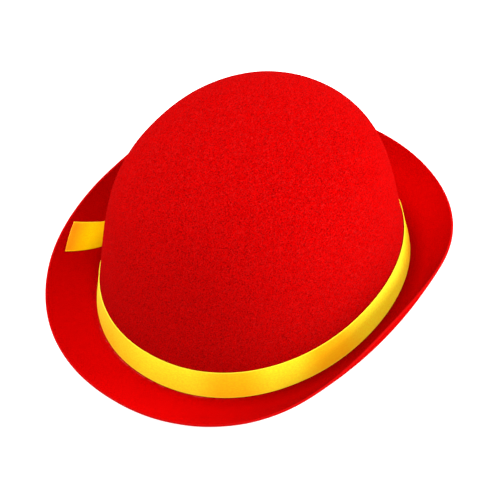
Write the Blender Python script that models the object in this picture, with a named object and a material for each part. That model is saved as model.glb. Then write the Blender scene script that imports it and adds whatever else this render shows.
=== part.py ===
"""Red felt bowler hat with a yellow satin ribbon, standing on its brim as it would by itself.

Units are metres. The front of the hat points to -Y, the wearer's left is +X, and the floor is z = 0.
Heights in the functions are measured from the brim's upper face at the foot of the crown.
"""
import math

import bmesh
import bpy
from mathutils import Vector

# Felt: crown and brim are moulded from one piece
FELT_THICKNESS = 0.0015

# Foot of the crown: outer half sizes of its oval, and how square that oval is (2 is an ellipse)
HEAD_HALF_WIDTH = 0.0843
HEAD_HALF_LENGTH = 0.1010
HEAD_SQUARENESS = 2.12

# Crown: height, loss of half width up to its top, and how tight shoulder and dome are rounded
CROWN_HEIGHT = 0.1159
CROWN_TAPER = 0.0160
CROWN_SHOULDER = 6.3
CROWN_DOME = 2.2

# Foot of the crown: small inside radius, then the flat ring on which the hat stands
FOOT_RADIUS = 0.0008
REST_RING_WIDTH = 0.0022

# Brim: width along the felt from the crown to the cut edge
BRIM_SIDE_WIDTH = 0.0355
BRIM_FRONT_WIDTH = 0.0287
BRIM_BACK_WIDTH = 0.0321

# Brim: slope in degrees where it leaves the flat ring, and at the cut edge
BRIM_SIDE_START = 25.4
BRIM_END_START = 12.4
BRIM_SIDE_EDGE = 83.7
BRIM_FRONT_EDGE = 57.7
BRIM_BACK_EDGE = 30.8
BRIM_DIAGONAL_DROP = 16.5
BRIM_CURL = 0.8

# Ribbon: width, thickness, and its gap to the felt, to the brim and to a second ply
RIBBON_WIDTH = 0.0182
RIBBON_THICKNESS = 0.0010
RIBBON_GAP = 0.0004
RIBBON_LIFT = 0.00045
PLY_GAP = 0.0003

# Ribbon end on the wearer's left: it laps over the band, then stands off towards the back
LAP_LENGTH = 0.0420
LAP_END = 0.0235
FREE_LENGTH = 0.0456
FREE_TURN = 25.5
FREE_LEAN = 20.5
FREE_LIFT = 0.0011
FREE_BEND_SHARE = 0.55
CUT_SLANT = 0.0028

# Fineness of the meshes
SEGMENTS = 72
CROWN_ROWS = 14
FOOT_ROWS = 2
BRIM_ROWS = 9
BRIM_STEPS = 36
RIBBON_ROWS = 3
LAP_COLUMNS = 9
FREE_COLUMNS = 24
SEARCH_STEPS = 8
SHARP_ANGLE = 35.0

# Colours as linear RGBA, and roughness
FELT_RED = (0.66, 0.002, 0.002, 1.0)
FELT_ROUGHNESS = 0.95
SATIN_YELLOW = (0.98, 0.62, 0.02, 1.0)
SATIN_ROUGHNESS = 0.35


def clear_scene():
    for item in list(bpy.data.objects):
        bpy.data.objects.remove(item)


def make_material(name, color, roughness):
    material = bpy.data.materials.new(name)
    material.use_nodes = True
    shader = material.node_tree.nodes["Principled BSDF"]
    shader.inputs["Base Color"].default_value = color
    shader.inputs["Roughness"].default_value = roughness
    shader.inputs["Metallic"].default_value = 0.0
    material.diffuse_color = color
    return material


def signed_power(value, exponent):
    return math.copysign(abs(value) ** exponent, value)


def head_oval(angle):
    """Point of the oval at the foot of the crown, and the level direction out of it."""
    share_x = signed_power(math.cos(angle), 2.0 / HEAD_SQUARENESS)
    share_y = signed_power(math.sin(angle), 2.0 / HEAD_SQUARENESS)
    point = Vector((share_x * HEAD_HALF_WIDTH, share_y * HEAD_HALF_LENGTH, 0.0))
    steep_x = signed_power(share_x, HEAD_SQUARENESS - 1.0) / HEAD_HALF_WIDTH
    steep_y = signed_power(share_y, HEAD_SQUARENESS - 1.0) / HEAD_HALF_LENGTH
    return point, Vector((steep_x, steep_y, 0.0)).normalized()


def left_angle(y):
    """Angle of the oval's point on the wearer's left that lies this far behind the middle."""
    share = min(abs(y) / HEAD_HALF_LENGTH, 1.0)
    return math.copysign(math.asin(share ** (HEAD_SQUARENESS / 2.0)), y)


def crown_share(height):
    """Size of the crown's oval at a height, as a share of the oval at its foot."""
    rise = max(height - FOOT_RADIUS, 0.0) / (CROWN_HEIGHT - FOOT_RADIUS)
    narrowing = rise * CROWN_TAPER / HEAD_HALF_WIDTH
    return (1.0 - narrowing) * max(1.0 - rise ** CROWN_SHOULDER, 0.0) ** (1.0 / CROWN_DOME)


def crown_point(angle, height, offset):
    """Point at a distance outside the crown's outer face, measured square to that face."""
    point, outward = head_oval(angle)
    step = (CROWN_HEIGHT - height) / 100.0
    change = (crown_share(height + step) - crown_share(height - step)) / (2.0 * step)
    square = outward - Vector((0.0, 0.0, point.dot(outward) * change))
    place = point * crown_share(height) + Vector((0.0, 0.0, height))
    return place + square.normalized() * offset


def blend_round(angle, side, front, back):
    """Value that runs smoothly round the hat through its side, front and back values."""
    across = math.sin(angle)
    ends = (back * (1.0 + across) + front * (1.0 - across)) / 2.0
    return side * math.cos(angle) ** 2 + ends * across ** 2


def brim_slope(angle, share):
    """Slope in radians at a share of the way from the flat ring to the cut edge."""
    start = blend_round(angle, BRIM_SIDE_START, BRIM_END_START, BRIM_END_START)
    edge = blend_round(angle, BRIM_SIDE_EDGE, BRIM_FRONT_EDGE, BRIM_BACK_EDGE)
    edge -= BRIM_DIAGONAL_DROP * math.sin(2.0 * angle) ** 2
    return math.radians(start + (edge - start) * share ** BRIM_CURL)


def brim_profile(angle):
    """Upper face from the crown's foot to the cut edge: rows of way out, height and slope."""
    rows = []
    for step in range(FOOT_ROWS + 1):
        turn = math.pi / 2.0 * step / FOOT_ROWS
        out = FOOT_RADIUS * (1.0 - math.cos(turn))
        rows.append((out, FOOT_RADIUS * (1.0 - math.sin(turn)), turn - math.pi / 2.0))
    out = FOOT_RADIUS + REST_RING_WIDTH
    height = 0.0
    rows.append((out, height, 0.0))
    width = blend_round(angle, BRIM_SIDE_WIDTH, BRIM_FRONT_WIDTH, BRIM_BACK_WIDTH)
    stride = (width - out) / BRIM_STEPS
    for step in range(1, BRIM_STEPS + 1):
        slope = brim_slope(angle, (step - 0.5) / BRIM_STEPS)
        out += math.cos(slope) * stride
        height += math.sin(slope) * stride
        if step % (BRIM_STEPS // BRIM_ROWS) == 0:
            rows.append((out, height, brim_slope(angle, step / BRIM_STEPS)))
    return rows


def brim_point(angle, row, depth):
    """Point at a depth under one row of the brim's upper face, measured square to that face."""
    point, outward = head_oval(angle)
    out, height, slope = row
    point += outward * (out + math.sin(slope) * depth)
    point.z = height - math.cos(slope) * depth
    return point


def height_at(angle, out):
    """Height of the upper face at a distance out from the crown's foot."""
    rows = brim_profile(angle)
    for inner, outer in zip(rows, rows[1:]):
        if out <= outer[0]:
            share = max(out - inner[0], 0.0) / (outer[0] - inner[0])
            return inner[1] + (outer[1] - inner[1]) * share
    return rows[-1][1]


def brim_height(x, y):
    """Height of the brim's upper face over a place on the floor."""
    angle = math.atan2(y / HEAD_HALF_LENGTH, x / HEAD_HALF_WIDTH)
    for _ in range(SEARCH_STEPS):
        point, outward = head_oval(angle)
        away = Vector((x, y, 0.0)) - point
        out = away.dot(outward)
        angle += (away.y * outward.x - away.x * outward.y) / (point.length + max(out, 0.0))
    return height_at(angle, out)


def round_angles():
    return [2.0 * math.pi * index / SEGMENTS for index in range(SEGMENTS)]


def crown_heights():
    """Heights of the crown's rows, from just under its top down to its foot."""
    turns = [math.pi / 2.0 * (CROWN_ROWS - row) / CROWN_ROWS for row in range(1, CROWN_ROWS)]
    return [FOOT_RADIUS + (CROWN_HEIGHT - FOOT_RADIUS) * math.sin(turn) for turn in turns]


def felt_face(depth):
    """Rows of points from the top of the crown to the cut edge, at a depth under the outer face."""
    angles = round_angles()
    rows = [[crown_point(angle, height, -depth) for angle in angles] for height in crown_heights()]
    profiles = [brim_profile(angle) for angle in angles]
    for index in range(len(profiles[0])):
        rows.append([brim_point(angle, rows_at[index], depth) for angle, rows_at in zip(angles, profiles)])
    return rows


def oval_centre():
    """Place of the crown's oval: the brim's outline lies evenly round the origin, on the floor."""
    front, back = [brim_profile(angle)[-1] for angle in (-math.pi / 2.0, math.pi / 2.0)]
    front_reach = front[0] + math.sin(front[2]) * FELT_THICKNESS
    back_reach = back[0] + math.sin(back[2]) * FELT_THICKNESS
    return Vector((0.0, (front_reach - back_reach) / 2.0, FELT_THICKNESS))


def add_rows(bm, rows, closed):
    """Skin of quads through rows of points, closed into rings or left as a strip."""
    made = [[bm.verts.new(point) for point in row] for row in rows]
    for upper, lower in zip(made, made[1:]):
        count = len(upper) if closed else len(upper) - 1
        for index in range(count):
            after = (index + 1) % len(upper)
            bm.faces.new((upper[index], lower[index], lower[after], upper[after]))
    return made


def finish_object(bm, name, material, parent):
    mesh = bpy.data.meshes.new(name)
    bm.to_mesh(mesh)
    bm.free()
    mesh.materials.append(material)
    mesh.shade_smooth()
    mesh.set_sharp_from_angle(angle=math.radians(SHARP_ANGLE))
    item = bpy.data.objects.new(name, mesh)
    item.parent = parent
    bpy.context.scene.collection.objects.link(item)
    return item


def thicken_ribbon(item):
    """Gives the ribbon its thickness on the side away from the crown."""
    wall = item.modifiers.new("ribbon_thickness", "SOLIDIFY")
    wall.thickness = RIBBON_THICKNESS
    wall.offset = 1.0
    wall.use_even_offset = True
    wall.use_quality_normals = True


def make_felt_body(material, parent):
    """Crown and brim: one felt wall, open below, with a raw cut edge all round the brim."""
    bm = bmesh.new()
    outer = felt_face(0.0)
    inner = felt_face(FELT_THICKNESS)
    rings = add_rows(bm, outer + inner[::-1], closed=True)
    tops = ((rings[0], CROWN_HEIGHT), (rings[-1], CROWN_HEIGHT - FELT_THICKNESS))
    for ring, height in tops:
        middle = bm.verts.new((0.0, 0.0, height))
        for index in range(SEGMENTS):
            bm.faces.new((middle, ring[index], ring[(index + 1) % SEGMENTS]))
    bmesh.ops.recalc_face_normals(bm, faces=bm.faces)
    return finish_object(bm, "felt_body", material, parent)


def ribbon_column(angle, offset):
    """Points across the ribbon, bottom to top, on its face towards the crown."""
    foot = max(height_at(angle, RIBBON_GAP), height_at(angle, offset + RIBBON_THICKNESS)) + RIBBON_LIFT
    heights = [foot + RIBBON_WIDTH * row / RIBBON_ROWS for row in range(RIBBON_ROWS + 1)]
    return [crown_point(angle, height, offset) for height in heights]


def make_hat_band(material, parent):
    """Satin ribbon that lies round the foot of the crown."""
    bm = bmesh.new()
    columns = [ribbon_column(angle, RIBBON_GAP) for angle in round_angles()]
    rows = [list(row) for row in zip(*columns)]
    add_rows(bm, rows[::-1], closed=True)
    band = finish_object(bm, "hat_band", material, parent)
    thicken_ribbon(band)
    return band


def lap_column(y):
    """Column of the ribbon end where it lies on the band."""
    return ribbon_column(left_angle(y), RIBBON_GAP + RIBBON_THICKNESS + PLY_GAP)


def free_columns(start):
    """Columns of the free end, whose lower edge rides up on the brim while it leans outward."""
    stride = FREE_LENGTH / FREE_COLUMNS
    low = start[0]
    arrival = low - lap_column(LAP_END - stride)[0]
    first_heading = math.atan2(arrival.x, arrival.y)
    first_lean = -math.asin((start[-1] - low).normalized().to_2d().length)
    first_lift = low.z - brim_height(low.x + RIBBON_THICKNESS, low.y)
    columns = []
    for step in range(1, FREE_COLUMNS + 1):
        share = step / FREE_COLUMNS
        bend = min(share / FREE_BEND_SHARE, 1.0)
        bend = bend * bend * (3.0 - 2.0 * bend)
        heading = first_heading + math.radians(FREE_TURN) * bend
        ahead = Vector((math.sin(heading), math.cos(heading), 0.0))
        aside = Vector((ahead.y, -ahead.x, 0.0))
        reach = low + ahead * stride
        under = reach + aside * RIBBON_THICKNESS
        reach.z = brim_height(under.x, under.y) + first_lift + (FREE_LIFT - first_lift) * bend
        along = (reach - low).normalized()
        low = low + along * stride
        lean = first_lean + (math.radians(FREE_LEAN) - first_lean) * share
        up = aside.cross(along) * math.cos(lean) + aside * math.sin(lean)
        top = low + up * RIBBON_WIDTH - along * CUT_SLANT * share
        columns.append([low.lerp(top, row / RIBBON_ROWS) for row in range(RIBBON_ROWS + 1)])
    return columns


def make_ribbon_end(material, parent):
    """End of the ribbon: lapped over the band on the wearer's left, then free over the brim."""
    bm = bmesh.new()
    starts = [LAP_END - LAP_LENGTH * (1.0 - column / LAP_COLUMNS) for column in range(LAP_COLUMNS + 1)]
    columns = [lap_column(y) for y in starts]
    columns += free_columns(columns[-1])
    add_rows(bm, columns, closed=False)
    end = finish_object(bm, "ribbon_end", material, parent)
    thicken_ribbon(end)
    return end


def main():
    clear_scene()
    felt = make_material("red_felt", FELT_RED, FELT_ROUGHNESS)
    satin = make_material("yellow_satin", SATIN_YELLOW, SATIN_ROUGHNESS)
    hat = bpy.data.objects.new("bowler_hat", None)
    hat.location = oval_centre()
    bpy.context.scene.collection.objects.link(hat)
    make_felt_body(felt, hat)
    make_hat_band(satin, hat)
    make_ribbon_end(satin, hat)


main()
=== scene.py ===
import math

import bpy
from mathutils import Matrix, Vector, noise


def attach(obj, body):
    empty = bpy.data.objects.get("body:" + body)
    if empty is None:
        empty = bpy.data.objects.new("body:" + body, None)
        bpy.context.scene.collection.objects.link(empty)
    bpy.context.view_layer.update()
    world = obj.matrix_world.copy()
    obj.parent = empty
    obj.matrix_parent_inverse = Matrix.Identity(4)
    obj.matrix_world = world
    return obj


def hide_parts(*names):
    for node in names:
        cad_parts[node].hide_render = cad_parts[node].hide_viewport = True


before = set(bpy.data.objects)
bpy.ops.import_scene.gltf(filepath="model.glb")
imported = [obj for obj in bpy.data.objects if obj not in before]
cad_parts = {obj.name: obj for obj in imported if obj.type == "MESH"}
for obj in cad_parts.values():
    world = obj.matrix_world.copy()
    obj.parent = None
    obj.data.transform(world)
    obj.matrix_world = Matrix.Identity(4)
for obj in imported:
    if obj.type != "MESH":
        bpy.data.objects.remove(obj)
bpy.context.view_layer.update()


# ---- Crown and brim ----
# One piece of wool felt, 1.5 mm thick, pulled over a wooden block while hot and stiffened with size.
# The brim is pressed up at the sides, and its edge is cut and left raw.

# Lengths are in metres and slopes in degrees, and a share runs from 0 to 1
FELT_THICKNESS = 0.0015
HEAD_HALF_WIDTH = 0.0843
HEAD_HALF_LENGTH = 0.1010
HEAD_SQUARENESS = 2.12
CROWN_HEIGHT = 0.1159
CROWN_TAPER = 0.0160
CROWN_SHOULDER = 6.3
CROWN_DOME = 2.2
FOOT_RADIUS = 0.0008
REST_RING_WIDTH = 0.0022
BRIM_SIDE_WIDTH = 0.0355
BRIM_FRONT_WIDTH = 0.0287
BRIM_BACK_WIDTH = 0.0321
BRIM_SIDE_START = 25.4
BRIM_END_START = 12.4
BRIM_SIDE_EDGE = 83.7
BRIM_FRONT_EDGE = 57.7
BRIM_BACK_EDGE = 30.8
BRIM_DIAGONAL_DROP = 16.5
BRIM_CURL = 0.8
FELT_AROUND = 264
CROWN_ROWS = 84
FOOT_ROWS = 3
BRIM_STEPS = 36
SLOPE_PARTS = 100.0
FELT_WAVER = 0.00022
WAVER_SLOW = 26.0
WAVER_SLOW_SHIFT = Vector((3.1, 0.4, 7.7))
WAVER_QUICK = 75.0
WAVER_QUICK_SHIFT = Vector((9.2, 5.3, 1.8))
WAVER_QUICK_SHARE = 0.35
WAVER_BRIM_START = 0.25
WAVER_CROWN_START = 0.024
WAVER_CROWN_FULL = 0.040
CUT_EDGE_ROUND = 0.00035
CUT_EDGE_ANGLE = math.radians(60.0)
SMOOTH_ANGLE = math.radians(50.0)
MERGE_DISTANCE = 0.000002


def signed_power(value, exponent):
    """Power of a value's size, with the value's own sign."""
    return math.copysign(abs(value) ** exponent, value)


def head_oval(angle):
    """Point of the oval at the foot of the crown, and the level direction out of it."""
    share_x = signed_power(math.cos(angle), 2.0 / HEAD_SQUARENESS)
    share_y = signed_power(math.sin(angle), 2.0 / HEAD_SQUARENESS)
    point = Vector((share_x * HEAD_HALF_WIDTH, share_y * HEAD_HALF_LENGTH, 0.0))
    steep_x = signed_power(share_x, HEAD_SQUARENESS - 1.0) / HEAD_HALF_WIDTH
    steep_y = signed_power(share_y, HEAD_SQUARENESS - 1.0) / HEAD_HALF_LENGTH
    return point, Vector((steep_x, steep_y, 0.0)).normalized()


def crown_share(height):
    """Size of the crown's oval at a height, as a share of the oval at its foot."""
    rise = max(height - FOOT_RADIUS, 0.0) / (CROWN_HEIGHT - FOOT_RADIUS)
    narrowing = rise * CROWN_TAPER / HEAD_HALF_WIDTH
    return (1.0 - narrowing) * max(1.0 - rise ** CROWN_SHOULDER, 0.0) ** (1.0 / CROWN_DOME)


def crown_point(angle, height, offset):
    """Point at a distance outside the crown's outer face, measured square to that face."""
    point, outward = head_oval(angle)
    step = (CROWN_HEIGHT - height) / SLOPE_PARTS
    change = (crown_share(height + step) - crown_share(height - step)) / (2.0 * step)
    square = outward - Vector((0.0, 0.0, point.dot(outward) * change))
    place = point * crown_share(height) + Vector((0.0, 0.0, height))
    return place + square.normalized() * offset


def blend_round(angle, side, front, back):
    """Value that runs smoothly round the hat through its side, front and back values."""
    across = math.sin(angle)
    ends = (back * (1.0 + across) + front * (1.0 - across)) / 2.0
    return side * math.cos(angle) ** 2 + ends * across ** 2


def brim_slope(angle, share):
    """Slope in radians at a share of the way from the crown's foot to the cut edge."""
    start = blend_round(angle, BRIM_SIDE_START, BRIM_END_START, BRIM_END_START)
    edge = blend_round(angle, BRIM_SIDE_EDGE, BRIM_FRONT_EDGE, BRIM_BACK_EDGE)
    edge -= BRIM_DIAGONAL_DROP * math.sin(2.0 * angle) ** 2
    return math.radians(start + (edge - start) * share ** BRIM_CURL)


def brim_profile(angle):
    """Upper face from the crown's foot to the cut edge: rows of way out, height and slope."""
    rows = []
    for step in range(FOOT_ROWS + 1):
        turn = math.pi / 2.0 * step / FOOT_ROWS
        out = FOOT_RADIUS * (1.0 - math.cos(turn))
        rows.append((out, FOOT_RADIUS * (1.0 - math.sin(turn)), turn - math.pi / 2.0))
    out = FOOT_RADIUS + REST_RING_WIDTH
    height = 0.0
    rows.append((out, height, 0.0))
    width = blend_round(angle, BRIM_SIDE_WIDTH, BRIM_FRONT_WIDTH, BRIM_BACK_WIDTH)
    stride = (width - out) / BRIM_STEPS
    for step in range(1, BRIM_STEPS + 1):
        slope = brim_slope(angle, (step - 0.5) / BRIM_STEPS)
        out += math.cos(slope) * stride
        height += math.sin(slope) * stride
        rows.append((out, height, brim_slope(angle, step / BRIM_STEPS)))
    return rows


def find_seat():
    """Place of the crown's oval on the floor, with the brim's outline evenly round the origin."""
    front, back = [brim_profile(angle)[-1] for angle in (-math.pi / 2.0, math.pi / 2.0)]
    front_reach = front[0] + math.sin(front[2]) * FELT_THICKNESS
    back_reach = back[0] + math.sin(back[2]) * FELT_THICKNESS
    return Vector((0.0, (front_reach - back_reach) / 2.0, FELT_THICKNESS))


HAT_SEAT = find_seat()


def soft_step(value, start, end):
    """Runs softly from 0 at the start to 1 at the end."""
    share = min(max((value - start) / (end - start), 0.0), 1.0)
    return share * share * (3.0 - 2.0 * share)


def felt_waver(point, share):
    """How far the hand-blocked felt strays from its true shape at a place."""
    slow = noise.noise(point * WAVER_SLOW + WAVER_SLOW_SHIFT)
    quick = noise.noise(point * WAVER_QUICK + WAVER_QUICK_SHIFT)
    return FELT_WAVER * share * (slow + WAVER_QUICK_SHARE * quick)


def felt_column(angle):
    """One column of the felt's upper face, from the cut edge in to the foot and up to the crown's top."""
    column = []
    oval, outward = head_oval(angle)
    profile = brim_profile(angle)
    for row in range(len(profile) - 1, -1, -1):
        out, height, slope = profile[row]
        share = max(row - FOOT_ROWS, 0) / (BRIM_STEPS + 1)
        place = oval + outward * out + Vector((0.0, 0.0, height))
        square = Vector((0.0, 0.0, 1.0)) * math.cos(slope) - outward * math.sin(slope)
        waver = felt_waver(place, soft_step(share, WAVER_BRIM_START, 1.0))
        column.append((place + square * waver, share))
    for row in range(1, CROWN_ROWS + 1):
        turn = math.pi / 2.0 * row / CROWN_ROWS
        height = FOOT_RADIUS + (CROWN_HEIGHT - FOOT_RADIUS) * math.sin(turn)
        if row == CROWN_ROWS:
            place = Vector((0.0, 0.0, CROWN_HEIGHT))
            place.z += felt_waver(place, 1.0)
        else:
            place = crown_point(angle, height, 0.0)
            waver = felt_waver(place, soft_step(height, WAVER_CROWN_START, WAVER_CROWN_FULL))
            place = crown_point(angle, height, waver)
        column.append((place, -row / CROWN_ROWS))
    return column


def add_sheet(name, columns, rows):
    """Flat grid of quads with its own UV map, its corners at 0 and 1, ready to be shaped."""
    bpy.ops.object.select_all(action="DESELECT")
    bpy.ops.mesh.primitive_grid_add(
        x_subdivisions=columns, y_subdivisions=rows, size=1.0, location=(0.0, 0.0, 0.0)
    )
    sheet = bpy.context.object
    sheet.name = name
    sheet.data.name = name
    return sheet


def grid_place(vertex, columns, rows):
    """Column and row of a vertex in the flat grid."""
    return round((vertex.co.x + 0.5) * columns), round((vertex.co.y + 0.5) * rows)


def apply_modifier(piece, kind, **settings):
    """Adds one modifier, sets it and applies it."""
    bpy.context.view_layer.objects.active = piece
    modifier = piece.modifiers.new(kind.lower(), kind)
    for key, value in settings.items():
        setattr(modifier, key, value)
    bpy.ops.object.modifier_apply(modifier=modifier.name)


def thicken(piece, thickness, side):
    """Gives a sheet its thickness, outwards at side 1 and inwards at side -1."""
    apply_modifier(
        piece,
        "SOLIDIFY",
        thickness=thickness,
        offset=side,
        use_even_offset=True,
        use_quality_normals=True,
    )


felt_rows = len(brim_profile(0.0)) - 1 + CROWN_ROWS
felt = add_sheet("crown_and_brim", FELT_AROUND, felt_rows)
felt_columns = [felt_column(2.0 * math.pi * column / FELT_AROUND) for column in range(FELT_AROUND)]
felt_columns.append(felt_columns[0])
way_out = felt.data.attributes.new("way_out", "FLOAT", "POINT")
for vertex in felt.data.vertices:
    column, row = grid_place(vertex, FELT_AROUND, felt_rows)
    place, share = felt_columns[column][row]
    way_out.data[vertex.index].value = share
    vertex.co = place + HAT_SEAT

# The sheet's two side edges meet, and its top row closes to the tip of the crown
bpy.ops.object.mode_set(mode="EDIT")
bpy.ops.mesh.select_all(action="SELECT")
bpy.ops.mesh.remove_doubles(threshold=MERGE_DISTANCE)
bpy.ops.object.mode_set(mode="OBJECT")
thicken(felt, FELT_THICKNESS, -1.0)
apply_modifier(
    felt, "BEVEL", width=CUT_EDGE_ROUND, segments=2, limit_method="ANGLE", angle_limit=CUT_EDGE_ANGLE
)
bpy.ops.object.shade_smooth_by_angle(angle=SMOOTH_ANGLE)


def new_group(name, inputs, outputs):
    """Empty node group with its named inputs and outputs."""
    group = bpy.data.node_groups.new(name, "ShaderNodeTree")
    for label, kind, value in inputs:
        socket = group.interface.new_socket(name=label, in_out="INPUT", socket_type=kind)
        if value is not None:
            socket.default_value = value
    for label, kind in outputs:
        group.interface.new_socket(name=label, in_out="OUTPUT", socket_type=kind)
    return group


def add_node(tree, kind, inputs=None, **settings):
    """Adds a node, sets it, and fills its inputs with values or with other nodes' outputs."""
    node = tree.nodes.new(kind)
    for key, value in settings.items():
        setattr(node, key, value)
    for label, value in (inputs or {}).items():
        if isinstance(value, bpy.types.NodeSocket):
            tree.links.new(value, node.inputs[label])
        else:
            node.inputs[label].default_value = value
    return node


def remap(tree, value, low, high, start=0.0, end=1.0):
    """Value that runs from start to end while the given one runs from low to high."""
    node = add_node(tree, "ShaderNodeMapRange", {0: value, 1: low, 2: high, 3: start, 4: end})
    return node.outputs[0]


def calc(tree, operation, first, second=0.0):
    """Result of one sum."""
    return add_node(tree, "ShaderNodeMath", {0: first, 1: second}, operation=operation).outputs[0]


def mix_colors(tree, factor, first, second, blend="MIX"):
    """Second colour over the first by a factor."""
    inputs = {0: factor, 6: first, 7: second}
    return add_node(tree, "ShaderNodeMix", inputs, data_type="RGBA", blend_type=blend).outputs[2]


def cloudy(tree, place, scale, detail, roughness=0.5, distortion=0.0):
    """Soft random value from 0 to 1 that changes from place to place."""
    inputs = {"Vector": place, "Scale": scale, "Detail": detail}
    inputs.update({"Roughness": roughness, "Distortion": distortion})
    return add_node(tree, "ShaderNodeTexNoise", inputs).outputs["Fac"]


def stretch(tree, place, scale, turn=(0.0, 0.0, 0.0), shift=0.0):
    """The same place measured on turned, moved and stretched axes."""
    inputs = {"Vector": place, "Rotation": turn, "Location": (shift, shift, shift), "Scale": scale}
    return add_node(tree, "ShaderNodeMapping", inputs).outputs[0]


# Wool: short matted fibres that cross each other, with small dark pits between them
WOOL_CLUMP_SHARE = 0.65
WOOL_CLUMP_TWIST = 0.4
WOOL_FINE_SHARE = 0.35
WOOL_FINE_SIZE = 2.6
WOOL_SHADE_RANGE = (0.43, 0.57)
WOOL_PIT_RANGE = (0.46, 0.36)
WOOL_PIT_DEPTH = 0.35
WOOL_FIBRE_TURNS = (((0.5, 0.2, 0.3), 3.0), ((0.1, 0.9, 1.4), 11.0), ((1.2, 0.4, 2.4), 23.0))
WOOL_FIBRE_STRETCH = (1.0, 0.30, 1.0)
WOOL_FIBRE_SIZE = 1.5
WOOL_FIBRE_TWIST = 0.8
WOOL_FIBRE_RANGE = (0.60, 0.74)
WOOL_FIBRE_HEIGHT = 0.30

wool = new_group(
    "wool_grain",
    [
        ("Vector", "NodeSocketVector", None),
        ("Size", "NodeSocketFloat", 1500.0),
        ("Fibres", "NodeSocketFloat", 1.0),
    ],
    [
        ("Shade", "NodeSocketFloat"),
        ("Pits", "NodeSocketFloat"),
        ("Fibres", "NodeSocketFloat"),
        ("Height", "NodeSocketFloat"),
    ],
)
ends = add_node(wool, "NodeGroupInput")
place = ends.outputs["Vector"]
size = ends.outputs["Size"]
clumps = cloudy(wool, place, size, detail=3.0, roughness=0.6, distortion=WOOL_CLUMP_TWIST)
fine = cloudy(wool, place, calc(wool, "MULTIPLY", size, WOOL_FINE_SIZE), detail=2.0)
clumps = calc(wool, "MULTIPLY", clumps, WOOL_CLUMP_SHARE)
shade = calc(wool, "ADD", clumps, calc(wool, "MULTIPLY", fine, WOOL_FINE_SHARE))
pits = remap(wool, shade, *WOOL_PIT_RANGE)
strands = 0.0
for turn, shift in WOOL_FIBRE_TURNS:
    turned = stretch(wool, place, WOOL_FIBRE_STRETCH, turn, shift)
    fibre_size = calc(wool, "MULTIPLY", size, WOOL_FIBRE_SIZE)
    lines = cloudy(wool, turned, fibre_size, detail=1.0, distortion=WOOL_FIBRE_TWIST)
    strands = calc(wool, "MAXIMUM", strands, remap(wool, lines, *WOOL_FIBRE_RANGE))
strands = calc(wool, "MULTIPLY", strands, ends.outputs["Fibres"])
height = calc(wool, "ADD", shade, calc(wool, "MULTIPLY", strands, WOOL_FIBRE_HEIGHT))
height = calc(wool, "SUBTRACT", height, calc(wool, "MULTIPLY", pits, WOOL_PIT_DEPTH))
shade = remap(wool, shade, *WOOL_SHADE_RANGE)
add_node(wool, "NodeGroupOutput", {"Shade": shade, "Pits": pits, "Fibres": strands, "Height": height})

FELT_RED = (0.46, 0.0003, 0.0003, 1.0)
FELT_DEEP_RED = (0.23, 0.0002, 0.0002, 1.0)
FELT_PIT_RED = (0.094, 0.0001, 0.0001, 1.0)
FELT_FIBRE_RED = (0.61, 0.018, 0.018, 1.0)
FELT_CUT_RED = (0.37, 0.003, 0.003, 1.0)
FELT_PALE_LINE_RED = (0.50, 0.060, 0.055, 1.0)
FELT_SMOOTHEST = 0.88
FELT_ROUGHEST = 1.0
FELT_RELIEF = 0.00035
FELT_RELIEF_STRENGTH = 0.85
CROWN_GRAIN = 1500.0
CROWN_FIBRES = 1.0
BRIM_GRAIN = 2600.0
BRIM_FIBRES = 0.6
BRIM_PIT_SHARE = 0.15
BRIM_FIBRE_SHARE = 0.25
BRIM_HEIGHT_SHARE = 0.45
CROWN_DARKNESS = 0.20
PATCH_DARKNESS = 0.10
PIT_DARKNESS = 0.60
FIBRE_PALENESS = 0.30
CUT_STRENGTH = 0.70
# Painted shade in the brim's fold on the wearer's right
PAINTED_SHADE_STRENGTH = 0.55
PALE_LINE_STRENGTH = 0.45
PATCH_SIZE = 34.0
PATCH_RANGE = (0.3, 0.7)
PALE_LINE_SIZE = 240.0
PALE_LINE_RANGE = (0.40, 0.56)
# Shares of the way from the crown's foot, at 0, to the cut edge, at 1, where each effect starts and is full
CROWN_RANGE = (0.10, -0.02)
CUT_RANGE = (0.985, 0.999)
PAINTED_SHADE_RANGE = (0.35, 0.02)
PAINTED_SHADE_FOOT_RANGE = (-0.012, 0.0)
FOLD_START_RANGE = (0.0075, 0.0095)
FOLD_END_RANGE = (0.0150, 0.0130)
# Places in metres across the hat and along it
PAINTED_SHADE_SIDE_RANGE = (-0.020, -0.080)
PALE_LINE_BACK_RANGE = (0.080, 0.094)

felt_look = bpy.data.materials.new("red_wool_felt")
felt_look.use_nodes = True
tree = felt_look.node_tree
skin = tree.nodes["Principled BSDF"]
skin.inputs["Specular IOR Level"].default_value = 0.0
skin.inputs["Sheen Weight"].default_value = 0.008
skin.inputs["Sheen Roughness"].default_value = 0.25
skin.inputs["Sheen Tint"].default_value = (1.0, 0.40, 0.40, 1.0)
coords = add_node(tree, "ShaderNodeTexCoord").outputs["Object"]
sides = add_node(tree, "ShaderNodeSeparateXYZ", {0: coords})
share = add_node(tree, "ShaderNodeAttribute", attribute_name="way_out").outputs["Fac"]
crown = remap(tree, share, *CROWN_RANGE)
grain = {"Vector": coords, "Size": CROWN_GRAIN, "Fibres": CROWN_FIBRES}
coarse = add_node(tree, "ShaderNodeGroup", grain, node_tree=wool)
grain = {"Vector": coords, "Size": BRIM_GRAIN, "Fibres": BRIM_FIBRES}
dense = add_node(tree, "ShaderNodeGroup", grain, node_tree=wool)


def by_crown(label, brim_share):
    """Crown's value where the felt is woolly, a weaker one where the brim was pressed smooth."""
    quiet = calc(tree, "MULTIPLY", dense.outputs[label], brim_share)
    return add_node(tree, "ShaderNodeMix", {0: crown, 2: quiet, 3: coarse.outputs[label]}).outputs[0]


def tint(red, mask, strength, shade):
    """Lays another shade over the red where the mask is."""
    return mix_colors(tree, calc(tree, "MULTIPLY", mask, strength), red, shade)


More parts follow.
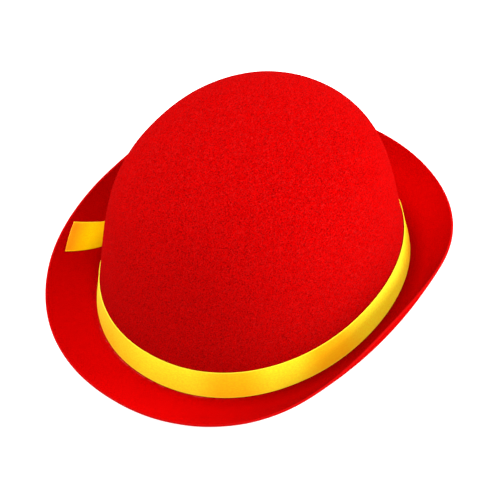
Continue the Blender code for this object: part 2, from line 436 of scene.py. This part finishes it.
patchy = remap(tree, cloudy(tree, coords, PATCH_SIZE, detail=3.0, roughness=0.55), *PATCH_RANGE)
red = mix_colors(tree, by_crown("Shade", 1.0), FELT_DEEP_RED, FELT_RED)
red = tint(red, crown, CROWN_DARKNESS, FELT_PIT_RED)
red = tint(red, patchy, PATCH_DARKNESS, FELT_DEEP_RED)
red = tint(red, by_crown("Pits", BRIM_PIT_SHARE), PIT_DARKNESS, FELT_PIT_RED)
red = tint(red, by_crown("Fibres", BRIM_FIBRE_SHARE), FIBRE_PALENESS, FELT_FIBRE_RED)
red = tint(red, remap(tree, share, *CUT_RANGE), CUT_STRENGTH, FELT_CUT_RED)

# Painted shade: the felt is darkened in the fold on the wearer's right, where the brim turns up, to stand in
# for the shade there
painted_shade = remap(tree, share, *PAINTED_SHADE_RANGE)
painted_shade = calc(tree, "MULTIPLY", painted_shade, remap(tree, share, *PAINTED_SHADE_FOOT_RANGE))
painted_shade = calc(tree, "MULTIPLY", painted_shade, remap(tree, sides.outputs["X"], *PAINTED_SHADE_SIDE_RANGE))
red = tint(red, painted_shade, PAINTED_SHADE_STRENGTH, FELT_PIT_RED)

# The brim's fold beside the ribbon has a thin, broken paler line in places at the back
fold = calc(tree, "MULTIPLY", remap(tree, share, *FOLD_START_RANGE), remap(tree, share, *FOLD_END_RANGE))
pale_line = calc(tree, "MULTIPLY", fold, remap(tree, sides.outputs["Y"], *PALE_LINE_BACK_RANGE))
broken = remap(tree, cloudy(tree, coords, PALE_LINE_SIZE, detail=2.0), *PALE_LINE_RANGE)
pale_line = calc(tree, "MULTIPLY", pale_line, broken)
red = tint(red, pale_line, PALE_LINE_STRENGTH, FELT_PALE_LINE_RED)
tree.links.new(red, skin.inputs["Base Color"])
dull = remap(tree, patchy, 0.0, 1.0, FELT_SMOOTHEST, FELT_ROUGHEST)
tree.links.new(dull, skin.inputs["Roughness"])
height = by_crown("Height", BRIM_HEIGHT_SHARE)
bump = {"Height": height, "Strength": FELT_RELIEF_STRENGTH, "Distance": FELT_RELIEF}
relief = add_node(tree, "ShaderNodeBump", bump)
tree.links.new(relief.outputs["Normal"], skin.inputs["Normal"])

felt.data.materials.append(felt_look)
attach(felt, "root")
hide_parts("felt_body")


# ---- Ribbon round the crown ----
# Single-face satin ribbon, 18 mm wide, pulled tight round the foot of the crown and held with dots of glue.
# Its woven edges are a little thicker and paler than the satin between them.

RIBBON_WIDTH = 0.0182
RIBBON_THICKNESS = 0.00035
RIBBON_CAD_THICKNESS = 0.0010
RIBBON_GAP = 0.0004
RIBBON_LIFT = 0.00015
PLY_GAP = 0.0003
BAND_JOIN_Y = 0.0020
BAND_JOIN_GAP = 0.00015
BAND_COLUMNS = 420
BAND_ROWS = 14
GIRTH_STEPS = 2000
GIRTH_AT = 0.6
BAND_STANDOFF = 0.0003
BAND_FOOT_STANDOFF = 0.0006
BACK_GAPE = 0.0001
BACK_GAPE_ANGLE = math.radians(95.0)
BACK_GAPE_FROM = 0.70
BAND_SNUG = 0.2
# Where the ribbon gets slacker or tighter: start and end in degrees round the hat, and by how much
BAND_SLACK_STEPS = ((55.0, 95.0, 0.66), (140.0, 185.0, 0.84), (205.0, 240.0, -1.50))
BAND_WAVER = 0.00008
BAND_WAVER_ALONG = 22.0
BAND_WAVER_ACROSS = 1.5
BAND_WAVER_SHIFT = 4.0


def left_angle(y):
    """Angle of the oval's point on the wearer's left that lies this far behind the middle."""
    share = min(abs(y) / HEAD_HALF_LENGTH, 1.0)
    return math.copysign(math.asin(share ** (HEAD_SQUARENESS / 2.0)), y)


def height_at(angle, out):
    """Height of the brim's upper face at a distance out from the crown's foot."""
    rows = brim_profile(angle)
    for inner, outer in zip(rows, rows[1:]):
        if out <= outer[0]:
            share = max(out - inner[0], 0.0) / (outer[0] - inner[0])
            return inner[1] + (outer[1] - inner[1]) * share
    return rows[-1][1]


def ribbon_foot(angle, offset):
    """Height of the ribbon's lower edge, just clear of the brim and a little more at the back."""
    seat = max(height_at(angle, RIBBON_GAP), height_at(angle, offset + RIBBON_CAD_THICKNESS))
    gape = soft_step(math.cos(angle - BACK_GAPE_ANGLE), BACK_GAPE_FROM, 1.0)
    return seat + RIBBON_LIFT + BACK_GAPE * gape


def even_angles(start, count):
    """Angles that share the crown's girth into equal lengths, once round, and the girth at mid ribbon."""
    turns = [start + 2.0 * math.pi * step / GIRTH_STEPS for step in range(GIRTH_STEPS + 1)]
    points = [crown_point(turn, RIBBON_WIDTH * GIRTH_AT, RIBBON_GAP) for turn in turns]
    way = [0.0]
    for before, after in zip(points, points[1:]):
        way.append(way[-1] + (after - before).length)
    found = []
    step = 0
    for index in range(count + 1):
        wanted = way[-1] * index / count
        while step < GIRTH_STEPS - 1 and way[step + 1] < wanted:
            step += 1
        share = (wanted - way[step]) / (way[step + 1] - way[step])
        found.append(turns[step] + (turns[step + 1] - turns[step]) * share)
    return found, way[-1]


def set_ribbon_uv(piece, length, width):
    """Makes the UV map true to size: metres along the ribbon and metres across it."""
    for loop in piece.data.uv_layers.active.data:
        loop.uv = (loop.uv.x * length, loop.uv.y * width)


def shape_ribbon(piece, columns, rows, places):
    """Moves each vertex of the flat ribbon to its place on the hat."""
    for vertex in piece.data.vertices:
        column, row = grid_place(vertex, columns, rows)
        vertex.co = places[column][row] + HAT_SEAT


def band_stand(angle, length_along, share):
    """Distance of the ribbon from the felt: it stands off most at its foot on the wearer's right."""
    spot = Vector((length_along * BAND_WAVER_ALONG, share * BAND_WAVER_ACROSS, BAND_WAVER_SHIFT))
    slack = BAND_SNUG
    for start, end, change in BAND_SLACK_STEPS:
        slack += change * soft_step(math.degrees(angle), start, end)
    foot = BAND_FOOT_STANDOFF * slack * (1.0 - share) ** 2
    return BAND_STANDOFF * slack + foot + BAND_WAVER * (1.0 + noise.noise(spot))


band_angles, band_length = even_angles(left_angle(BAND_JOIN_Y), BAND_COLUMNS)
band = add_sheet("satin_band", BAND_COLUMNS, BAND_ROWS)
band_places = []
for index, angle in enumerate(band_angles):
    foot = ribbon_foot(angle, RIBBON_GAP)
    along = band_length * index / BAND_COLUMNS
    column = []
    for row in range(BAND_ROWS + 1):
        share = row / BAND_ROWS
        column.append(crown_point(angle, foot + RIBBON_WIDTH * share, band_stand(angle, along, share)))
    band_places.append(column)
band_gap = (band_places[-1][0] - band_places[-2][0]).normalized() * BAND_JOIN_GAP
for row in range(BAND_ROWS + 1):
    band_places[-1][row] = band_places[-1][row] - band_gap
    band_places[0][row] = band_places[0][row] + band_gap
shape_ribbon(band, BAND_COLUMNS, BAND_ROWS, band_places)
set_ribbon_uv(band, band_length, RIBBON_WIDTH)
thicken(band, RIBBON_THICKNESS, 1.0)
bpy.ops.object.shade_smooth_by_angle(angle=SMOOTH_ANGLE)

# Satin: long smooth threads along the ribbon over fine ones across it, and a denser woven edge at each side
WARP_STRETCH = (220.0, 5200.0, 1.0)
WARP_SHARE = 0.2
WEFT_STRETCH = (3600.0, 260.0, 1.0)
WEFT_SHARE = 0.1
SLUB_STRETCH = (700.0, 1000.0, 1.0)
SLUB_SHARE = 0.7
THREAD_SHADE_RANGE = (0.43, 0.57)
THREAD_HEIGHT = 0.5
SELVAGE_WIDTH = 0.0006
SELVAGE_START = 1.1
SELVAGE_FULL = 0.75
SELVAGE_HEIGHT = 0.6
SELVAGE_RIB_HEIGHT = 0.2
SELVAGE_RIBS = 1500.0

weave = new_group(
    "satin_weave",
    [
        ("Vector", "NodeSocketVector", None),
        ("Width", "NodeSocketFloat", RIBBON_WIDTH),
        ("Edge", "NodeSocketFloat", SELVAGE_WIDTH),
    ],
    [("Shade", "NodeSocketFloat"), ("Edge", "NodeSocketFloat"), ("Height", "NodeSocketFloat")],
)
ends = add_node(weave, "NodeGroupInput")
place = ends.outputs["Vector"]
selvage = ends.outputs["Edge"]
axes = add_node(weave, "ShaderNodeSeparateXYZ", {0: place})
across = axes.outputs["Y"]
from_edge = calc(weave, "MINIMUM", across, calc(weave, "SUBTRACT", ends.outputs["Width"], across))
edge_start = calc(weave, "MULTIPLY", selvage, SELVAGE_START)
edge = remap(weave, from_edge, edge_start, calc(weave, "MULTIPLY", selvage, SELVAGE_FULL))
warp = cloudy(weave, stretch(weave, place, WARP_STRETCH), scale=1.0, detail=2.0)
weft = cloudy(weave, stretch(weave, place, WEFT_STRETCH), scale=1.0, detail=1.0)
slubs = cloudy(weave, stretch(weave, place, SLUB_STRETCH), scale=1.0, detail=3.0, roughness=0.8)
warp = calc(weave, "MULTIPLY", warp, WARP_SHARE)
threads = calc(weave, "ADD", warp, calc(weave, "MULTIPLY", weft, WEFT_SHARE))
threads = calc(weave, "ADD", threads, calc(weave, "MULTIPLY", slubs, SLUB_SHARE))
ribs = calc(weave, "SINE", calc(weave, "MULTIPLY", axes.outputs["X"], 2.0 * math.pi * SELVAGE_RIBS))
ribs = calc(weave, "ADD", SELVAGE_HEIGHT, calc(weave, "MULTIPLY", ribs, SELVAGE_RIB_HEIGHT))
height = calc(weave, "MULTIPLY", threads, THREAD_HEIGHT)
height = calc(weave, "ADD", height, calc(weave, "MULTIPLY", edge, ribs))
shade = remap(weave, threads, *THREAD_SHADE_RANGE)
add_node(weave, "NodeGroupOutput", {"Shade": shade, "Edge": edge, "Height": height})

# Pale lemon for the painted sheen bands, gold for the satin between them
SATIN_LEMON = (1.0, 0.88, 0.018, 1.0)
SATIN_GOLD = (1.0, 0.55, 0.002, 1.0)
SATIN_THREAD_SHADE = (1.0, 0.70, 0.60, 1.0)
SATIN_EDGE_YELLOW = (1.0, 0.84, 0.04, 1.0)
SATIN_GLOSS_YELLOW = (1.0, 0.88, 0.07, 1.0)
SATIN_SHEEN_YELLOW = (1.0, 0.85, 0.06, 1.0)
SATIN_THREAD_STRENGTH = 0.60
SATIN_EDGE_STRENGTH = 0.75
# Painted sheen: where the pale bands along the ribbon sit and how far apart, standing in for the satin's
# highlights
SATIN_SHEEN_PLACE = 0.150
SATIN_SHEEN_EVERY = 0.080
SATIN_UNEVEN_PLACE = 0.067
SATIN_UNEVEN_EVERY = 0.182
SATIN_UNEVEN_BY = 0.9
SATIN_STRAY_STRETCH = (30.0, 26.0, 1.0)
SATIN_STRAY_RANGE = (0.3, 0.7)
SATIN_STRAY_BY = 0.2
SATIN_ZONE_RANGE = (-0.8, 0.6)
SATIN_SMOOTHEST = 0.38
SATIN_ROUGHEST = 0.52
SATIN_RELIEF = 0.00010
SATIN_RELIEF_STRENGTH = 0.6


def satin_ribbon_look(name, pale, deep, selvage, sheen_place):
    """Yellow satin that runs between a pale and a deeper yellow along the ribbon, at uneven steps, with the
    pale bands as painted sheen.
    """
    look = bpy.data.materials.new(name)
    look.use_nodes = True
    tree = look.node_tree
    skin = tree.nodes["Principled BSDF"]
    skin.inputs["IOR"].default_value = 1.75
    skin.inputs["Specular IOR Level"].default_value = 1.0
    skin.inputs["Specular Tint"].default_value = SATIN_GLOSS_YELLOW
    skin.inputs["Anisotropic"].default_value = 0.85
    skin.inputs["Anisotropic Rotation"].default_value = 0.25
    skin.inputs["Subsurface Weight"].default_value = 0.3
    skin.inputs["Subsurface Radius"].default_value = (1.0, 0.6, 0.1)
    skin.inputs["Subsurface Scale"].default_value = 0.0012
    skin.inputs["Sheen Weight"].default_value = 0.20
    skin.inputs["Sheen Roughness"].default_value = 0.4
    skin.inputs["Sheen Tint"].default_value = SATIN_SHEEN_YELLOW
    flat = add_node(tree, "ShaderNodeUVMap", uv_map="UVMap").outputs["UV"]
    ribbon = {"Vector": flat, "Width": RIBBON_WIDTH, "Edge": SELVAGE_WIDTH}
    threads = add_node(tree, "ShaderNodeGroup", ribbon, node_tree=weave)

    # Painted sheen: one wave of pale and deep along the ribbon, pushed to and fro by a longer one and a
    # little stray
    along = add_node(tree, "ShaderNodeSeparateXYZ", {0: flat}).outputs["X"]
    along = calc(tree, "SUBTRACT", along, sheen_place)
    uneven = calc(tree, "SUBTRACT", along, SATIN_UNEVEN_PLACE)
    uneven = calc(tree, "SINE", calc(tree, "MULTIPLY", uneven, 2.0 * math.pi / SATIN_UNEVEN_EVERY))
    stray = cloudy(tree, stretch(tree, flat, SATIN_STRAY_STRETCH), scale=1.0, detail=2.0)
    stray = remap(tree, stray, *SATIN_STRAY_RANGE, -SATIN_STRAY_BY, SATIN_STRAY_BY)
    sheen_wave = calc(tree, "MULTIPLY", along, 2.0 * math.pi / SATIN_SHEEN_EVERY)
    sheen_wave = calc(tree, "ADD", sheen_wave, calc(tree, "MULTIPLY", uneven, SATIN_UNEVEN_BY))
    sheen_wave = calc(tree, "COSINE", calc(tree, "ADD", sheen_wave, stray))
    yellow = mix_colors(tree, remap(tree, sheen_wave, *SATIN_ZONE_RANGE), deep, pale)
    shading = calc(tree, "MULTIPLY", threads.outputs["Shade"], SATIN_THREAD_STRENGTH)
    yellow = mix_colors(tree, shading, yellow, SATIN_THREAD_SHADE, "MULTIPLY")
    edging = calc(tree, "MULTIPLY", threads.outputs["Edge"], SATIN_EDGE_STRENGTH)
    yellow = mix_colors(tree, edging, yellow, selvage)
    tree.links.new(yellow, skin.inputs["Base Color"])
    dull = remap(tree, threads.outputs["Shade"], 0.0, 1.0, SATIN_SMOOTHEST, SATIN_ROUGHEST)
    tree.links.new(dull, skin.inputs["Roughness"])
    bump = {"Height": threads.outputs["Height"], "Strength": SATIN_RELIEF_STRENGTH, "Distance": SATIN_RELIEF}
    relief = add_node(tree, "ShaderNodeBump", bump)
    tree.links.new(relief.outputs["Normal"], skin.inputs["Normal"])
    return look


band_look = satin_ribbon_look(
    "yellow_ribbon_satin", SATIN_LEMON, SATIN_GOLD, SATIN_EDGE_YELLOW, SATIN_SHEEN_PLACE
)
band.data.materials.append(band_look)
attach(band, "root")
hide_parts("hat_band")


# ---- End of the ribbon ----
# The ribbon's cut end: it laps over the band on the wearer's left, where its glue holds it.
# From there it springs off towards the back of the hat and lies on the rising brim.

LAP_LENGTH = 0.0420
LAP_END = 0.0235
FREE_LENGTH = 0.0456
FREE_TURN = 25.5
FREE_LEAN = 20.5
FREE_LIFT = 0.0006
CUT_BULGE = 0.0007
FREE_BEND_SHARE = 0.55
CUT_SLANT = 0.0028
LAP_LEAVES_AT = 0.45
LAP_COLUMNS = 9
FREE_COLUMNS = 24
END_ROWS = 3
END_SMOOTHING = 3
SEARCH_STEPS = 8
LAP_SNUG_OFFSET = 0.00095
# Painted shade: the end's yellows are a deeper, more orange copy of the band's satin, for the shade the end
# stands in beside the crown
END_SHADED_YELLOW = (1.0, 0.84, 0.002, 1.0)
END_SHADED_GOLD = (1.0, 0.31, 0.001, 1.0)
END_SHADED_EDGE_YELLOW = (1.0, 0.66, 0.006, 1.0)
END_SHEEN_PLACE = 0.042


def brim_height(x, y):
    """Height of the brim's upper face over a place on the floor."""
    angle = math.atan2(y / HEAD_HALF_LENGTH, x / HEAD_HALF_WIDTH)
    for _ in range(SEARCH_STEPS):
        point, outward = head_oval(angle)
        away = Vector((x, y, 0.0)) - point
        out = away.dot(outward)
        angle += (away.y * outward.x - away.x * outward.y) / (point.length + max(out, 0.0))
    return height_at(angle, out)


def lap_column(y, snug):
    """Column of the ribbon end on the band: snug on it, or already standing off it."""
    angle = left_angle(y)
    loose = RIBBON_GAP + RIBBON_CAD_THICKNESS + PLY_GAP
    foot = ribbon_foot(angle, loose)
    offset = LAP_SNUG_OFFSET + (loose - LAP_SNUG_OFFSET) * (1.0 - snug)
    heights = [foot + RIBBON_WIDTH * row / END_ROWS for row in range(END_ROWS + 1)]
    return [crown_point(angle, height, offset) for height in heights]


def free_columns(start):
    """Columns of the free end, whose lower edge rides up on the brim while it leans outward."""
    stride = FREE_LENGTH / FREE_COLUMNS
    low = start[0]
    arrival = low - lap_column(LAP_END - stride, 0.0)[0]
    first_heading = math.atan2(arrival.x, arrival.y)
    first_lean = -math.asin((start[-1] - low).normalized().to_2d().length)
    first_lift = low.z - brim_height(low.x + RIBBON_CAD_THICKNESS, low.y)
    columns = []
    for step in range(1, FREE_COLUMNS + 1):
        share = step / FREE_COLUMNS
        bend = soft_step(share, 0.0, FREE_BEND_SHARE)
        heading = first_heading + math.radians(FREE_TURN) * bend
        ahead = Vector((math.sin(heading), math.cos(heading), 0.0))
        aside = Vector((ahead.y, -ahead.x, 0.0))
        reach = low + ahead * stride
        under = reach + aside * RIBBON_CAD_THICKNESS
        reach.z = brim_height(under.x, under.y) + first_lift + (FREE_LIFT - first_lift) * bend
        along = (reach - low).normalized()
        low = low + along * stride
        lean = first_lean + (math.radians(FREE_LEAN) - first_lean) * share
        up = aside.cross(along) * math.cos(lean) + aside * math.sin(lean)
        top = low + up * RIBBON_WIDTH - along * CUT_SLANT * share
        bulge = along * CUT_BULGE * share ** 4
        column = []
        for row in range(END_ROWS + 1):
            height = row / END_ROWS
            column.append(low.lerp(top, height) + bulge * math.sin(math.pi * height))
        columns.append(column)
    return columns


end_columns = LAP_COLUMNS + FREE_COLUMNS
ribbon_end = add_sheet("satin_ribbon_end", end_columns, END_ROWS)
end_places = []
for column in range(LAP_COLUMNS + 1):
    share = column / LAP_COLUMNS
    snug = 1.0 - soft_step(share, LAP_LEAVES_AT, 1.0)
    end_places.append(lap_column(LAP_END - LAP_LENGTH * (1.0 - share), snug))
end_places += free_columns(end_places[-1])
shape_ribbon(ribbon_end, end_columns, END_ROWS, end_places)
set_ribbon_uv(ribbon_end, LAP_LENGTH + FREE_LENGTH, RIBBON_WIDTH)
apply_modifier(
    ribbon_end,
    "SUBSURF",
    levels=END_SMOOTHING,
    render_levels=END_SMOOTHING,
    boundary_smooth="PRESERVE_CORNERS",
)
thicken(ribbon_end, RIBBON_THICKNESS, 1.0)
bpy.ops.object.shade_smooth_by_angle(angle=SMOOTH_ANGLE)
end_look = satin_ribbon_look(
    "yellow_ribbon_end_shaded_satin", END_SHADED_YELLOW, END_SHADED_GOLD, END_SHADED_EDGE_YELLOW, END_SHEEN_PLACE
)
ribbon_end.data.materials.append(end_look)
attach(ribbon_end, "root")
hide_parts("ribbon_end")


# ---- Floor, light and camera ----
# A plain white table that glows a little, in a soft white room, so the hat stands on clean white.
# Softboxes stand at the wearer's right front, overhead, by the camera, at the left back and on the left.
# The camera looks down on the hat's right back quarter, as in the photograph.

FLOOR_SIDE = 6.0
FLOOR_GREY = (0.50, 0.50, 0.50, 1.0)
FLOOR_GLOW = 0.80
WHITE = (1.0, 1.0, 1.0, 1.0)
ROOM_LIGHT = 0.97
LIGHT_AIM = Vector((0.0, 0.0, 0.05))
CAMERA_PLACE = Vector((-0.56895, 0.66094, 0.99778))
CAMERA_AIM = Vector((-0.00962, 0.01038, 0.03645))
CAMERA_ROLL = -3.994
CAMERA_LENS = 159.5
CAMERA_SENSOR = 36.0

bpy.ops.object.select_all(action="DESELECT")
bpy.ops.mesh.primitive_plane_add(size=FLOOR_SIDE, location=(0.0, 0.0, 0.0))
floor = bpy.context.object
floor.name = "floor"
floor_look = bpy.data.materials.new("white_table")
floor_look.use_nodes = True
floor_skin = floor_look.node_tree.nodes["Principled BSDF"]
floor_skin.inputs["Base Color"].default_value = FLOOR_GREY
floor_skin.inputs["Roughness"].default_value = 0.8
floor_skin.inputs["Emission Color"].default_value = WHITE
floor_skin.inputs["Emission Strength"].default_value = FLOOR_GLOW
floor.data.materials.append(floor_look)


def add_softbox(name, place, size, power):
    """Square area light that points at the hat."""
    light = bpy.data.lights.new(name, "AREA")
    light.shape = "SQUARE"
    light.size = size
    light.energy = power
    item = bpy.data.objects.new(name, light)
    bpy.context.scene.collection.objects.link(item)
    item.location = place
    item.rotation_euler = (LIGHT_AIM - Vector(place)).to_track_quat("-Z", "Y").to_euler()


add_softbox("key_light", place=(-1.20, -0.95, 0.50), size=0.8, power=37.0)
add_softbox("top_light", place=(-0.60, -0.20, 1.60), size=0.8, power=16.0)
add_softbox("camera_light", place=(-0.55, 0.75, 1.35), size=1.0, power=10.8)
add_softbox("left_fill", place=(1.05, 0.86, 0.70), size=1.2, power=6.2)
add_softbox("back_light", place=(1.30, -0.30, 1.00), size=1.2, power=27.5)

world = bpy.data.worlds.new("white_room")
world.use_nodes = True
room = world.node_tree.nodes["Background"]
room.inputs["Color"].default_value = WHITE
room.inputs["Strength"].default_value = ROOM_LIGHT
bpy.context.scene.world = world
bpy.context.scene.view_settings.view_transform = "Standard"

sight = (CAMERA_PLACE - CAMERA_AIM).normalized()
level = Vector((0.0, 0.0, 1.0)).cross(sight).normalized()
upward = sight.cross(level)
roll = math.radians(CAMERA_ROLL)
camera_right = level * math.cos(roll) + upward * math.sin(roll)
camera_up = upward * math.cos(roll) - level * math.sin(roll)
camera_data = bpy.data.cameras.new("camera")
camera_data.lens = CAMERA_LENS
camera_data.sensor_width = CAMERA_SENSOR
camera = bpy.data.objects.new("camera", camera_data)
bpy.context.scene.collection.objects.link(camera)
turn = Matrix((camera_right, camera_up, sight)).transposed()
camera.matrix_world = Matrix.Translation(CAMERA_PLACE) @ turn.to_4x4()
bpy.context.scene.camera = camera
